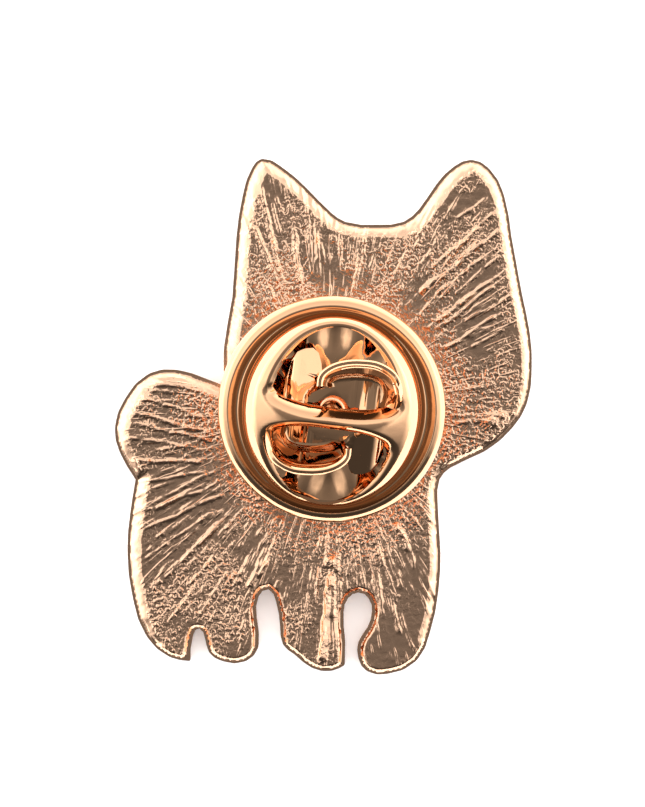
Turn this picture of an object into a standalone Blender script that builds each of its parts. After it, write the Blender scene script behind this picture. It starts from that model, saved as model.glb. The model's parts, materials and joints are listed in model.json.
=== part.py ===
"""Puppy-shaped enamel pin with a squeeze-wing clutch, lying face down.

Frame: the post stands on the Z axis, and the raised metal lines of the face lie on Z = 0.
X runs to the puppy's front legs and Y to its ears, both as seen from behind.
"""

import math

import bmesh
import bpy
from mathutils import Matrix, Vector

MM = 0.001

# Cast badge
THICKNESS = 1.8
FLANGE_THICKNESS = 0.75
BACK_INSET = 0.16
BACK_ROUND = 0.3
CELL_DEPTH = 0.5
ENAMEL_RECESS = 0.08
ENAMEL_GAP = 0.03
RIB = 0.34

# Post
POST_LENGTH = 6.0
POST_RADIUS = 0.58
GROOVE_RADIUS = 0.47
TIP_RADIUS = 0.1
FOOT_RADIUS = 1.2
FOOT_HEIGHT = 0.25
SOLDER_RADIUS = 1.75
GAP = 0.03

# Clutch, with heights measured from its underside along its own axis
CLUTCH_RADIUS = 5.75
SHEET = 0.28
RIM_HEIGHT = 1.2
GROOVE_HEIGHT = 0.85
DOME_RADIUS = 4.72
DOME_FOOT = 1.1
DOME_HEIGHT = 3.4
LIP_RADIUS = 4.95
WINDOW_X = 3.4
WINDOW_Y = 4.45
BRIDGE_HALF_WIDTH = 0.62
BRIDGE_FLARE = 0.6
BASE_PLATE_RADIUS = 5.15
BASE_PLATE_LOW = 0.31
BASE_PLATE_HIGH = 0.53
BASE_HOLE_RADIUS = 0.85
TIP_CLEARANCE = 0.22
TILT = math.radians(6)
TURN = math.radians(-7)

# Levers
LEVER_SHEET = 0.25
LEVER_HOLE_RADIUS = 0.85
LEVER_RING_RADIUS = 1.45
LEVER_A_HEIGHT = 1.82
LEVER_B_HEIGHT = 1.15
LEVER_PIVOT = 1.6
FOOT_BEND = 1.45
FOOT_LOW = 0.95
WING_TOP = 4.3
WING_LEAN = 0.75
SPRING_RADIUS = 1.15
SPRING_WIRE = 0.1
SPRING_HEIGHT = 0.84
SPRING_WAVE = 0.05

OUTLINE_STEPS = 2
CELL_STEPS = 2
TURNED_STEPS = 32

# The badge's outline, from the tip of the left ear clockwise as seen from behind. A third value marks a corner.
OUTLINE = [
    (-3.6, 13.0), (-2.6, 12.6), (-1.2, 11.4), (0.0, 10.2), (0.7, 9.75), (2.4, 9.6), (3.7, 9.75),
    (4.5, 10.4), (5.4, 11.7), (6.3, 12.6), (7.2, 12.95), (8.1, 12.5), (8.85, 11.2), (9.25, 9.0),
    (9.8, 6.0), (10.2, 4.0), (10.3, 2.2), (10.05, 0.4), (9.3, -0.85), (7.9, -2.05), (6.1, -2.9),
    (5.55, -3.5), (5.45, -4.6), (5.6, -7.2), (5.5, -9.2), (5.05, -11.4), (4.4, -12.8), (2.9, -13.5),
    (1.8, -13.35), (1.38, -12.7), (1.38, -11.85), (1.85, -11.1), (2.08, -10.3), (1.9, -9.6),
    (1.4, -9.32), (0.85, -9.6), (0.62, -10.3), (0.7, -11.8), (0.68, -13.05, "corner"), (0.0, -13.35),
    (-1.0, -13.2), (-1.9, -12.5), (-2.5, -12.0), (-2.65, -11.0), (-2.85, -9.8), (-3.25, -9.15),
    (-3.75, -9.5), (-3.85, -10.6), (-3.75, -12.1), (-4.4, -12.85), (-5.6, -12.85), (-6.3, -12.4),
    (-6.5, -11.7), (-6.82, -11.15), (-7.12, -11.5), (-7.25, -12.85, "corner"), (-8.3, -12.65),
    (-9.5, -11.6), (-10.2, -9.7), (-10.5, -7.2), (-10.35, -5.2), (-10.08, -3.5, "corner"), (-10.9, -2.1),
    (-11.15, -0.8), (-10.6, 0.7), (-9.4, 1.95), (-8.0, 2.15), (-6.5, 1.7), (-5.5, 1.3, "corner"),
    (-5.55, 3.2), (-5.1, 5.9), (-4.9, 8.9), (-4.55, 11.2), (-4.1, 12.5),
]


def ellipse(x, y, half_width, half_height, count=8):
    """Points round an ellipse."""
    turns = [2 * math.pi * i / count for i in range(count)]
    return [(x + half_width * math.cos(a), y + half_height * math.sin(a)) for a in turns]


def smile(x, y, radius, start, end, half_width=0.14, count=6):
    """A band along an arc, for a raised line that stands free in a cell. Angles are in degrees."""
    angles = [math.radians(start + (end - start) * i / (count - 1)) for i in range(count)]
    outer = [(x + (radius + half_width) * math.cos(a), y + (radius + half_width) * math.sin(a)) for a in angles]
    inner = [(x + (radius - half_width) * math.cos(a), y + (radius - half_width) * math.sin(a)) for a in angles]
    return outer + inner[::-1]


def around(loop, by):
    """The loop with each point moved away from the loop's middle, so that a rib fits between two cells."""
    middle = Vector((sum(p[0] for p in loop) / len(loop), sum(p[1] for p in loop) / len(loop)))
    moved = []
    for point in loop:
        out = Vector(point[:2]) - middle
        moved.append(tuple(Vector(point[:2]) + out.normalized() * by))
    return moved


EYE_LEFT = ellipse(-0.9, 5.2, 0.75, 0.85)
EYE_RIGHT = ellipse(5.7, 5.2, 0.75, 0.85)
NOSE = ellipse(2.4, 2.3, 1.0, 0.68)
INNER_EAR_LEFT = [(-3.35, 11.0), (-2.3, 10.4), (-1.7, 9.5), (-2.3, 8.4), (-3.1, 7.7), (-3.6, 9.3)]
INNER_EAR_RIGHT = [(7.15, 11.3), (7.75, 10.5), (7.95, 9.0), (7.5, 7.9), (6.6, 8.8), (6.1, 9.8)]

# Each enamel cell: its colour, its outer edge, and the edges of what stands inside it.
CELLS = {
    "enamel_face_left": ("tan", [
        (-3.5, 11.95), (-2.4, 11.5), (-1.0, 10.3), (0.3, 9.2), (1.55, 9.0), (1.72, 8.2), (1.69, 6.95),
        (1.35, 5.3), (0.7, 3.9), (0.05, 2.6), (-0.2, 1.1), (-0.15, -0.45), (0.35, -2.1, "corner"),
        (-1.4, -2.0), (-2.9, -1.2), (-4.3, 0.4), (-4.95, 2.6), (-4.6, 5.4), (-4.4, 8.4), (-4.05, 11.0),
    ], [around(EYE_LEFT, RIB), around(INNER_EAR_LEFT, RIB)]),
    "enamel_face_right": ("tan", [
        (7.1, 12.3), (8.0, 11.6), (8.45, 10.2), (8.75, 8.0), (9.35, 5.0), (9.65, 2.4), (9.35, 0.5),
        (8.4, -0.9), (6.9, -1.95), (5.6, -2.4), (4.4, -2.2, "corner"), (4.95, -0.45), (5.0, 1.1), (4.75, 2.6),
        (4.1, 3.9), (3.45, 5.3), (3.11, 6.95), (3.08, 8.3), (3.6, 9.15), (4.7, 9.75), (6.1, 11.6),
    ], [around(EYE_RIGHT, RIB), around(INNER_EAR_RIGHT, RIB)]),
    "enamel_muzzle": ("white", [
        (2.4, 9.0), (2.08, 8.3), (2.05, 6.9), (1.7, 5.2), (1.05, 3.7), (0.4, 2.4), (0.18, 1.1),
        (0.25, -0.3), (0.85, -1.9), (2.4, -2.9), (3.95, -1.9), (4.55, -0.3), (4.62, 1.1), (4.4, 2.4),
        (3.75, 3.7), (3.1, 5.2), (2.75, 6.9), (2.72, 8.3),
    ], [around(NOSE, RIB), smile(2.4, 1.5, 1.5, 215, 325)]),
    "enamel_inner_ear_left": ("pink", INNER_EAR_LEFT, []),
    "enamel_inner_ear_right": ("pink", INNER_EAR_RIGHT, []),
    "enamel_eye_left": ("black", EYE_LEFT, []),
    "enamel_eye_right": ("black", EYE_RIGHT, []),
    "enamel_nose": ("black", NOSE, []),
    "enamel_coat": ("tan", [
        (-5.5, 0.2, "corner"), (-4.6, -1.2), (-3.1, -2.4), (-1.2, -3.1), (0.75, -3.6, "corner"),
        (1.05, -5.2), (0.85, -6.9), (0.15, -8.4, "corner"), (-1.2, -8.6), (-3.2, -8.5), (-4.2, -9.0),
        (-4.3, -9.8), (-4.25, -10.65, "corner"), (-6.1, -10.7), (-6.9, -10.5), (-7.7, -10.85),
        (-9.25, -10.8, "corner"), (-9.75, -9.6), (-10.0, -7.2), (-9.85, -5.2), (-9.4, -3.6),
        (-8.4, -2.8), (-7.2, -2.0), (-6.2, -0.9),
    ], []),
    "enamel_tail": ("tan", [
        (-6.55, 1.05), (-8.0, 1.55), (-9.2, 1.35), (-10.1, 0.4), (-10.55, -0.9), (-10.2, -2.1),
        (-9.5, -2.65), (-8.2, -2.2), (-7.0, -1.2), (-6.2, 0.1),
    ], []),
    "enamel_chest": ("white", [
        (1.15, -3.9, "corner"), (2.8, -4.1), (4.95, -3.9, "corner"), (5.05, -6.4), (4.95, -8.5, "corner"),
        (3.0, -8.65), (0.75, -8.55, "corner"), (1.3, -6.9), (1.45, -5.2),
    ], []),
    "enamel_leg_front": ("tan", [
        (2.5, -9.0, "corner"), (4.95, -8.9, "corner"), (4.7, -10.6, "corner"), (2.45, -10.85, "corner"),
    ], []),
    "enamel_leg_front_far": ("tan", [
        (-2.35, -9.0, "corner"), (0.15, -9.0, "corner"), (0.15, -10.75, "corner"), (-2.2, -10.75, "corner"),
    ], []),
    "enamel_paw_front": ("white", [
        (2.15, -11.25, "corner"), (4.6, -10.98, "corner"), (4.2, -12.2), (3.3, -12.95), (2.2, -12.85),
        (1.85, -12.1),
    ], []),
    "enamel_paw_front_far": ("white", [
        (-2.15, -11.1, "corner"), (0.2, -11.1, "corner"), (0.2, -12.65, "corner"), (-0.7, -12.8),
        (-1.5, -12.3),
    ], []),
    "enamel_paw_rear": ("white", [
        (-9.2, -11.2, "corner"), (-7.6, -11.25, "corner"), (-7.7, -12.3, "corner"), (-8.4, -12.15),
    ], []),
    "enamel_paw_rear_far": ("white", [
        (-6.0, -11.1, "corner"), (-4.25, -11.05, "corner"), (-4.3, -12.0), (-5.1, -12.45), (-5.85, -12.1),
    ], []),
}

COLOURS = {
    "plating": ((0.93, 0.60, 0.42), 0.15, 1.0),
    "tan": ((0.72, 0.36, 0.11), 0.15, 0.0),
    "white": ((0.87, 0.85, 0.80), 0.15, 0.0),
    "pink": ((0.82, 0.38, 0.38), 0.15, 0.0),
    "black": ((0.02, 0.018, 0.016), 0.12, 0.0),
    "solder": ((0.80, 0.62, 0.50), 0.3, 1.0),
}


def clear_scene():
    for obj in list(bpy.data.objects):
        bpy.data.objects.remove(obj)


def make_collection(name):
    collection = bpy.data.collections.new(name)
    bpy.context.scene.collection.children.link(collection)
    return collection


def make_materials():
    materials = {}
    for name, (colour, roughness, metallic) in COLOURS.items():
        material = bpy.data.materials.new(name)
        material.use_nodes = True
        shader = material.node_tree.nodes["Principled BSDF"]
        shader.inputs["Base Color"].default_value = (*colour, 1)
        shader.inputs["Roughness"].default_value = roughness
        shader.inputs["Metallic"].default_value = metallic
        materials[name] = material
    return materials


def add(name, data, collection, material=None, parent=None):
    obj = bpy.data.objects.new(name, data)
    collection.objects.link(obj)
    if material is not None:
        data.materials.clear()
        data.materials.append(material)
    obj.parent = parent
    return obj


def slab_curve(name, loops, low, high, offset=0.0, steps=CELL_STEPS, straight=False):
    """A 2D curve through the loops' points, filled and as thick as low to high, in millimetres."""
    curve = bpy.data.curves.new(name, "CURVE")
    curve.dimensions = "2D"
    curve.fill_mode = "BOTH"
    curve.resolution_u = steps
    curve.extrude = (high - low) / 2 * MM
    curve.offset = offset * MM
    for loop in loops:
        spline = curve.splines.new("POLY" if straight else "BEZIER")
        points = spline.points if straight else spline.bezier_points
        points.add(len(loop) - 1)
        for point, place in zip(points, loop):
            point.co = (place[0] * MM, place[1] * MM, 0, 1)[: 4 if straight else 3]
            if not straight:
                kind = "VECTOR" if len(place) > 2 else "AUTO"
                point.handle_left_type = kind
                point.handle_right_type = kind
        spline.use_cyclic_u = True
    return curve


def slab(name, loops, low, high, collection, offset=0.0, steps=CELL_STEPS, straight=False):
    """The slab curve's solid as a mesh object, with its caps welded to its sides."""
    curve = slab_curve(name, loops, low, high, offset, steps, straight)
    guide = add(name + "_curve", curve, collection)
    guide.location.z = (low + high) / 2 * MM
    bpy.context.view_layer.update()
    graph = bpy.context.evaluated_depsgraph_get()
    mesh = bpy.data.meshes.new_from_object(guide.evaluated_get(graph))
    shape = bmesh.new()
    shape.from_mesh(mesh)
    bmesh.ops.remove_doubles(shape, verts=shape.verts, dist=0.002 * MM)
    shape.to_mesh(mesh)
    shape.free()
    obj = add(name, mesh, collection)
    obj.matrix_world = guide.matrix_world
    bpy.data.objects.remove(guide)
    return obj


def hide(obj):
    obj.hide_render = True
    obj.display_type = "WIRE"


def boolean(obj, other, operation):
    modifier = obj.modifiers.new(f"{operation.lower()}_{other.name}", "BOOLEAN")
    modifier.operation = operation
    modifier.object = other
    hide(other)


def turned(name, profile, collection, thickness=None):
    """A profile of (radius, height) in millimetres, top to bottom down its outer side, turned round the Z axis."""
    mesh = bpy.data.meshes.new(name)
    shape = bmesh.new()
    points = [shape.verts.new((radius * MM, 0, height * MM)) for radius, height in profile]
    for first, second in zip(points, points[1:]):
        shape.edges.new((first, second))
    shape.to_mesh(mesh)
    shape.free()
    obj = add(name, mesh, collection)
    screw = obj.modifiers.new("turn", "SCREW")
    screw.steps = TURNED_STEPS
    screw.render_steps = TURNED_STEPS
    screw.use_merge_vertices = True
    screw.merge_threshold = 0.001 * MM
    if thickness:
        solidify = obj.modifiers.new("sheet", "SOLIDIFY")
        solidify.thickness = thickness * MM
        solidify.offset = -1
    return obj


def arc(radius_x, radius_y, start, end, count, centre=(0, 0)):
    """Points along part of an ellipse in the (radius, height) plane. Angles are in degrees."""
    angles = [math.radians(start + (end - start) * i / count) for i in range(count + 1)]
    return [(centre[0] + radius_x * math.cos(a), centre[1] + radius_y * math.sin(a)) for a in angles]


def finish(obj, material):
    obj.data.materials.clear()
    obj.data.materials.append(material)
    obj.data.shade_smooth()
    obj.data.set_sharp_from_angle(angle=math.radians(35))


def merge_flat_faces(obj):
    """Each flat side becomes one face, so that a Bevel after it finds no short edges."""
    shape = bmesh.new()
    shape.from_mesh(obj.data)
    bmesh.ops.dissolve_limit(shape, angle_limit=math.radians(1), verts=shape.verts, edges=shape.edges)
    shape.to_mesh(obj.data)
    shape.free()


def build_casting(parts, cutters, plating):
    """The zinc casting: a flange at the face, a narrower rounded back, and a recess for each enamel cell."""
    casting = slab("badge_casting", [OUTLINE], 0, FLANGE_THICKNESS, parts, steps=OUTLINE_STEPS)
    back = slab("casting_back", [OUTLINE], 0.2, THICKNESS, cutters, -BACK_INSET, OUTLINE_STEPS)
    merge_flat_faces(back)
    rounded = back.modifiers.new("rounded", "BEVEL")
    rounded.width = BACK_ROUND * MM
    rounded.segments = 2
    rounded.limit_method = "ANGLE"
    rounded.angle_limit = math.radians(70)
    rounded.use_clamp_overlap = False
    boolean(casting, back, "UNION")
    for name, (_, outer, inner) in CELLS.items():
        cutter = slab("cell_" + name[7:], [outer, *inner], -CELL_DEPTH, CELL_DEPTH, cutters)
        boolean(casting, cutter, "DIFFERENCE")
    finish(casting, plating)


def build_enamel(parts, materials):
    """One cured fill in each recess, a little below the metal lines."""
    for name, (colour, outer, inner) in CELLS.items():
        fill = slab(name, [outer, *inner], ENAMEL_RECESS - ENAMEL_GAP, CELL_DEPTH, parts)
        shrink = fill.modifiers.new("shrinkage", "DISPLACE")
        shrink.strength = -ENAMEL_GAP * MM
        shrink.mid_level = 0
        finish(fill, materials[colour])


def build_post(parts, plating, solder):
    """A nail with a flat foot, a groove and a pointed tip, and the fillet of solder that holds its foot."""
    back = THICKNESS + GAP
    tip = THICKNESS + POST_LENGTH
    post = turned("post", [
        (0, tip), (TIP_RADIUS, tip - 0.05), (POST_RADIUS - 0.04, tip - 0.95), (POST_RADIUS, tip - 1.1),
        (POST_RADIUS, tip - 1.25), (GROOVE_RADIUS, tip - 1.35), (GROOVE_RADIUS, tip - 1.6),
        (POST_RADIUS, tip - 1.7), (POST_RADIUS, back + FOOT_HEIGHT + 0.15),
        (POST_RADIUS + 0.15, back + FOOT_HEIGHT), (FOOT_RADIUS - 0.05, back + FOOT_HEIGHT),
        (FOOT_RADIUS, back + FOOT_HEIGHT - 0.05), (FOOT_RADIUS, back), (0, back),
    ], parts)
    finish(post, plating)
    bead = turned("post_solder", [
        (FOOT_RADIUS + GAP, back + 0.2), (FOOT_RADIUS + 0.2, back + 0.16), (SOLDER_RADIUS - 0.15, back + 0.07),
        (SOLDER_RADIUS, back), (FOOT_RADIUS + GAP, back), (FOOT_RADIUS + GAP, back + 0.2),
    ], parts)
    finish(bead, solder)


def clutch_frame(parts):
    """An empty on the clutch's own axis, which leans a little on the post. Its origin is the levers' pivot."""
    frame = bpy.data.objects.new("clutch_frame", None)
    parts.objects.link(frame)
    height = THICKNESS + POST_LENGTH - (DOME_HEIGHT - SHEET - TIP_CLEARANCE) + LEVER_PIVOT
    lean = Matrix.Rotation(TILT, 4, "X") @ Matrix.Rotation(TURN, 4, "Z")
    frame.matrix_world = Matrix.Translation((0, 0, height * MM)) @ lean
    return frame


def onto_clutch(obj, frame):
    """Stands the object on the clutch's axis, with its own zero at the clutch's underside."""
    obj.parent = frame
    obj.location.z -= LEVER_PIVOT * MM


def window(half):
    """One of the two openings that the wings stand in. The bridge between them flares at its ends."""
    count = 16
    outer = []
    for i in range(count + 1):
        angle = math.radians(14 + 152 * i / count)
        outer.append((WINDOW_X * math.cos(angle), half * WINDOW_Y * math.sin(angle)))
    left, right = outer[-1][0], outer[0][0]
    inner = []
    for i in range(1, count):
        x = left + (right - left) * i / count
        y = BRIDGE_HALF_WIDTH + BRIDGE_FLARE * abs(x / WINDOW_X) ** 6
        inner.append((x, half * y))
    return outer + inner


def build_cap(parts, cutters, frame, plating):
    """The stamped cap: a dome with two openings and a bridge, a groove, and a rim rolled under the base plate."""
    profile = arc(DOME_RADIUS, DOME_HEIGHT - DOME_FOOT, 90, 0, 6, (0, DOME_FOOT))
    profile += [(DOME_RADIUS + 0.08, GROOVE_HEIGHT + 0.06), (DOME_RADIUS + 0.22, GROOVE_HEIGHT)]
    roll = (RIM_HEIGHT - 0.02) / 2
    profile += arc(0.55, 0.6, 150, 0, 4, (CLUTCH_RADIUS - 0.55, 0.6))
    profile += arc(0.55, 0.6, -30, -90, 2, (CLUTCH_RADIUS - 0.55, roll + 0.01))
    profile += [(LIP_RADIUS, 0)]
    cap = turned("clutch_cap", profile, parts, SHEET)
    for name, half in (("window_upper", 1), ("window_lower", -1)):
        cutter = slab(name, [window(half)], GROOVE_HEIGHT, DOME_HEIGHT + 1, cutters, straight=True)
        onto_clutch(cutter, frame)
        boolean(cap, cutter, "DIFFERENCE")
    onto_clutch(cap, frame)
    finish(cap, plating)


def build_base_plate(parts, frame, plating):
    """The disc that faces the cloth, held in the cap's rolled rim, with a dished hole for the post."""
    low, high, hole = BASE_PLATE_LOW, BASE_PLATE_HIGH, BASE_HOLE_RADIUS
    plate = turned("clutch_base_plate", [
        (hole, high + 0.12), (hole + 0.35, high + 0.1), (hole + 0.6, high), (BASE_PLATE_RADIUS - 0.05, high),
        (BASE_PLATE_RADIUS, high - 0.05), (BASE_PLATE_RADIUS, low + 0.05), (BASE_PLATE_RADIUS - 0.05, low),
        (hole + 0.6, low), (hole + 0.35, low + 0.08), (hole, low + 0.1), (hole, high + 0.12),
    ], parts)
    onto_clutch(plate, frame)
    finish(plate, plating)


def lever_outline():
    """The flat blank of a lever: a ring round the post, the floor of its wing, and a foot on the far side."""
    return [
        (2.75, 0.3), (2.75, 2.0), (2.35, 2.35), (0.8, 2.35), (-0.6, 2.2), (-0.85, 1.8), (-0.6, 1.45),
        (-1.0, 1.05), (-1.45, 0.0), (-1.0, -1.05), (0.0, -1.45), (0.9, -1.5), (1.1, -2.2), (1.5, -3.1),
        (2.3, -2.9), (2.7, -2.0),
    ]


def wing_path():
    """The line along which a wing's wall rises from its floor, from beside the bridge round to the free end."""
    side = [(2.72, 1.15), (2.72, 1.75)]
    corner = arc(0.55, 0.55, 0, 90, 4, (2.17, 1.78))
    edge = [(1.2, 2.35), (0.2, 2.33), (-0.6, 2.2)]
    return side + corner[1:] + edge + arc(0.35, 0.35, 110, 190, 3, (-0.65, 1.87))


def build_lever(name, height, turn, parts, cutters, frame, plating):
    """A lever stamped from one sheet: a ring round the post, a foot, and a wing to squeeze."""
    hole = ellipse(0, 0, LEVER_HOLE_RADIUS, LEVER_HOLE_RADIUS, 24)
    lever = slab(name, [lever_outline() + []], height, height + LEVER_SHEET, parts, straight=True)
    cutter = slab(name + "_hole", [hole], height - 1, height + 1, cutters, straight=True)
    shape = bmesh.new()
    shape.from_mesh(lever.data)
    bmesh.ops.bisect_plane(
        shape, geom=shape.verts[:] + shape.edges[:] + shape.faces[:], dist=0.001 * MM,
        plane_co=(0, -FOOT_BEND * MM, 0), plane_no=(0, 1, 0),
    )
    reach = 3.1 - FOOT_BEND
    for vertex in shape.verts:
        beyond = -vertex.co.y / MM - FOOT_BEND
        if beyond > 0:
            vertex.co.z -= (height - FOOT_LOW) * beyond / reach * MM
    shape.to_mesh(lever.data)
    shape.free()

    path = wing_path()
    wall_mesh = bpy.data.meshes.new(name + "_wall")
    shape = bmesh.new()
    rows = []
    for share in (0.0, 0.5, 1.0):
        row = []
        for x, y in path:
            out = Vector((x - 0.9, y - 0.6)).normalized() * WING_LEAN * share ** 1.5
            z = height + LEVER_SHEET / 2 + (WING_TOP - height - LEVER_SHEET / 2) * share
            row.append(shape.verts.new(((x + out.x * 0.35) * MM, (y + out.y) * MM, z * MM)))
        rows.append(row)
    for low, high in zip(rows, rows[1:]):
        for i in range(len(path) - 1):
            shape.faces.new((low[i], low[i + 1], high[i + 1], high[i]))
    bmesh.ops.recalc_face_normals(shape, faces=shape.faces)
    shape.to_mesh(wall_mesh)
    shape.free()
    wall = add(name + "_wall", wall_mesh, cutters)
    solidify = wall.modifiers.new("sheet", "SOLIDIFY")
    solidify.thickness = LEVER_SHEET * MM
    solidify.offset = 0
    for obj in (lever, wall, cutter):
        obj.rotation_euler.z = turn
        onto_clutch(obj, frame)
    boolean(lever, cutter, "DIFFERENCE")
    boolean(lever, wall, "UNION")
    finish(lever, plating)


def build_spring(parts, frame, plating):
    """The wavy ring of spring wire under the levers, round the post, which opens the wings again."""
    curve = bpy.data.curves.new("return_spring", "CURVE")
    curve.dimensions = "3D"
    curve.bevel_depth = SPRING_WIRE * MM
    curve.bevel_resolution = 2
    spline = curve.splines.new("POLY")
    count = 36
    spline.points.add(count - 1)
    for i, point in enumerate(spline.points):
        angle = 2 * math.pi * i / count
        height = SPRING_HEIGHT + SPRING_WAVE * math.cos(3 * angle)
        point.co = (
            SPRING_RADIUS * math.cos(angle) * MM, SPRING_RADIUS * math.sin(angle) * MM, height * MM, 1,
        )
    spline.use_cyclic_u = True
    spring = add("return_spring", curve, parts, plating)
    onto_clutch(spring, frame)


def main():
    clear_scene()
    parts = make_collection("enamel_pin")
    cutters = make_collection("cutters")
    materials = make_materials()
    plating = materials["plating"]
    build_casting(parts, cutters, plating)
    build_enamel(parts, materials)
    build_post(parts, plating, materials["solder"])
    frame = clutch_frame(parts)
    build_base_plate(parts, frame, plating)
    build_cap(parts, cutters, frame, plating)
    build_lever("lever_upper", LEVER_A_HEIGHT, 0.0, parts, cutters, frame, plating)
    build_lever("lever_lower", LEVER_B_HEIGHT, math.pi, parts, cutters, frame, plating)
    build_spring(parts, frame, plating)


main()
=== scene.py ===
import json
import math
import random

import bpy
import numpy as np
from mathutils import Matrix, Vector


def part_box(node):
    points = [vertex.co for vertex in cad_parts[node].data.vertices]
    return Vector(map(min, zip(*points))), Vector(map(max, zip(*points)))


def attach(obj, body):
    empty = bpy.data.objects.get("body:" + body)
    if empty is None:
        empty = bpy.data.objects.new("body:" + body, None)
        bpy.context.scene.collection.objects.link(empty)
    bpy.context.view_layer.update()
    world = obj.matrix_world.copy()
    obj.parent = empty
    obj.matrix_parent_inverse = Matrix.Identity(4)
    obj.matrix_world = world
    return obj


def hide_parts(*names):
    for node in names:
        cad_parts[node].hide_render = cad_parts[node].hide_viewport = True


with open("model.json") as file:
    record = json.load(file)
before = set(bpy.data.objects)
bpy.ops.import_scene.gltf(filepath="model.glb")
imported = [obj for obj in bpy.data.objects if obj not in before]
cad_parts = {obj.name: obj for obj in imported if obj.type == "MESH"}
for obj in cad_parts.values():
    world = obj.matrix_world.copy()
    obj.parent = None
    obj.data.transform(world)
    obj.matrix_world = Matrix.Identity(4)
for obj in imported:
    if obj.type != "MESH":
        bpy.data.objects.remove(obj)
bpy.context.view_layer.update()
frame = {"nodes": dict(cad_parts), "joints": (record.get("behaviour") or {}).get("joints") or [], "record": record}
MM = 0.001


# ---- Studio
# A light tent: bright left, right and far walls, open and dark overhead and towards the near side,
# so that level metal looks bronze and every edge that tilts outwards catches white.

def linear(hex_colour):
    """An sRGB hex value as the linear colour that a socket takes."""
    channels = [int(hex_colour[i:i + 2], 16) / 255 for i in (1, 3, 5)]
    return (*[c / 12.92 if c <= 0.04045 else ((c + 0.055) / 1.055) ** 2.4 for c in channels], 1)


def add_node(tree, kind, links=(), **settings):
    """Adds a node with its properties, and gives each named input a value or another node's output."""
    node = tree.nodes.new(kind)
    for name, value in settings.items():
        setattr(node, name, value)
    for name, value in links:
        socket = node.inputs[name]
        if isinstance(value, bpy.types.NodeSocket):
            tree.links.new(value, socket)
        else:
            socket.default_value = value
    return node


def set_ramp(node, stops):
    """The stops of a colour ramp, each a place and a grey or a colour."""
    ramp = node.color_ramp
    while len(ramp.elements) < len(stops):
        ramp.elements.new(1)
    for element, (place, value) in zip(ramp.elements, stops):
        element.position = place
        element.color = value if isinstance(value, tuple) else (value, value, value, 1)
    return node


tent = bpy.data.worlds.new("Light tent")
bpy.context.scene.world = tent
tent.use_nodes = True
tree = tent.node_tree
tree.nodes.clear()
direction = add_node(tree, "ShaderNodeTexCoord").outputs["Generated"]
parts = add_node(tree, "ShaderNodeSeparateXYZ", [("Vector", direction)])
height = set_ramp(
    add_node(tree, "ShaderNodeValToRGB", [("Fac", parts.outputs["Z"])]),
    [(0.0, 1.0), (0.1, 0.9), (0.3, 0.5), (0.8, 0.56), (0.9, 0.13), (1.0, 0.09)],
)
far = add_node(tree, "ShaderNodeMath", [(0, parts.outputs["Y"]), (1, 0.5), (2, 0.5)], operation="MULTIPLY_ADD")
wall = set_ramp(
    add_node(tree, "ShaderNodeValToRGB", [("Fac", far.outputs[0])]),
    [(0.0, 0.03), (0.22, 0.05), (0.42, 0.75), (0.6, 1.0), (1.0, 0.75)],
)
# The left and right walls stand nearer to the lamps than the far one.
sideways = add_node(
    tree, "ShaderNodeMath", [(0, parts.outputs["X"]), (1, parts.outputs["X"])], operation="MULTIPLY",
)
strength = add_node(
    tree, "ShaderNodeMath", [(0, sideways.outputs[0]), (1, 0.7), (2, 2.5)], operation="MULTIPLY_ADD",
)
lit = add_node(
    tree, "ShaderNodeMath", [(0, height.outputs["Color"]), (1, wall.outputs["Color"])], operation="MULTIPLY",
)
lit = add_node(tree, "ShaderNodeMath", [(0, lit.outputs[0]), (1, strength.outputs[0])], operation="MULTIPLY")
glow = add_node(
    tree, "ShaderNodeBackground", [("Color", (1, 0.985, 0.965, 1)), ("Strength", lit.outputs[0])],
)
add_node(tree, "ShaderNodeOutputWorld", [("Surface", glow.outputs[0])])

bpy.ops.object.light_add(type="AREA", location=(0, 0, 0.3))
overhead = bpy.context.object
overhead.name = "Overhead diffuser"
overhead.data.shape = "DISK"
overhead.data.size = 2.4
overhead.data.energy = 26
overhead.visible_glossy = False


# ---- Floor
# A sweep of matt white card that runs out of view on every side. It is lit to paper white.

bpy.ops.mesh.primitive_plane_add(size=2.4, location=(0, 0, 0))
floor = bpy.context.object
floor.name = "floor"
card = bpy.data.materials.new("Matt white card")
card.use_nodes = True
shader = card.node_tree.nodes["Principled BSDF"]
shader.inputs["Base Color"].default_value = linear("#F7F6F5")
shader.inputs["Roughness"].default_value = 0.9
shader.inputs["Specular IOR Level"].default_value = 0.1
floor.data.materials.append(card)


# ---- Camera
# Straight above the pin with a long lens, a quarter of a metre up.

CAMERA_HEIGHT = 250 * MM
VIEW_WIDTH = 33.03 * MM
bpy.ops.object.camera_add(location=(-0.466 * MM, 0.4045 * MM, CAMERA_HEIGHT), rotation=(0, 0, 0))
camera = bpy.context.object
camera.data.sensor_fit = "HORIZONTAL"
camera.data.sensor_width = 36
camera.data.lens = 36 * (CAMERA_HEIGHT - 1.8 * MM) / VIEW_WIDTH
camera.data.clip_start = 0.005
bpy.context.scene.camera = camera
bpy.context.scene.view_settings.view_transform = "Standard"


# ---- Cast badge
# Zinc, cast in one piece and then plated, with a cell in its face for each enamel. Its back is the skin
# of the mould: sandy, with raised ridges that run out from the post like spokes, and a rounded edge.

def only(piece):
    """Leaves this piece alone selected and active."""
    if bpy.context.mode != "OBJECT":
        bpy.ops.object.mode_set(mode="OBJECT")
    bpy.ops.object.select_all(action="DESELECT")
    piece.select_set(True)
    bpy.context.view_layer.objects.active = piece


def edit(piece):
    """Opens this piece in edit mode with all of it selected."""
    only(piece)
    bpy.ops.object.mode_set(mode="EDIT")
    bpy.ops.mesh.select_all(action="SELECT")


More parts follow.
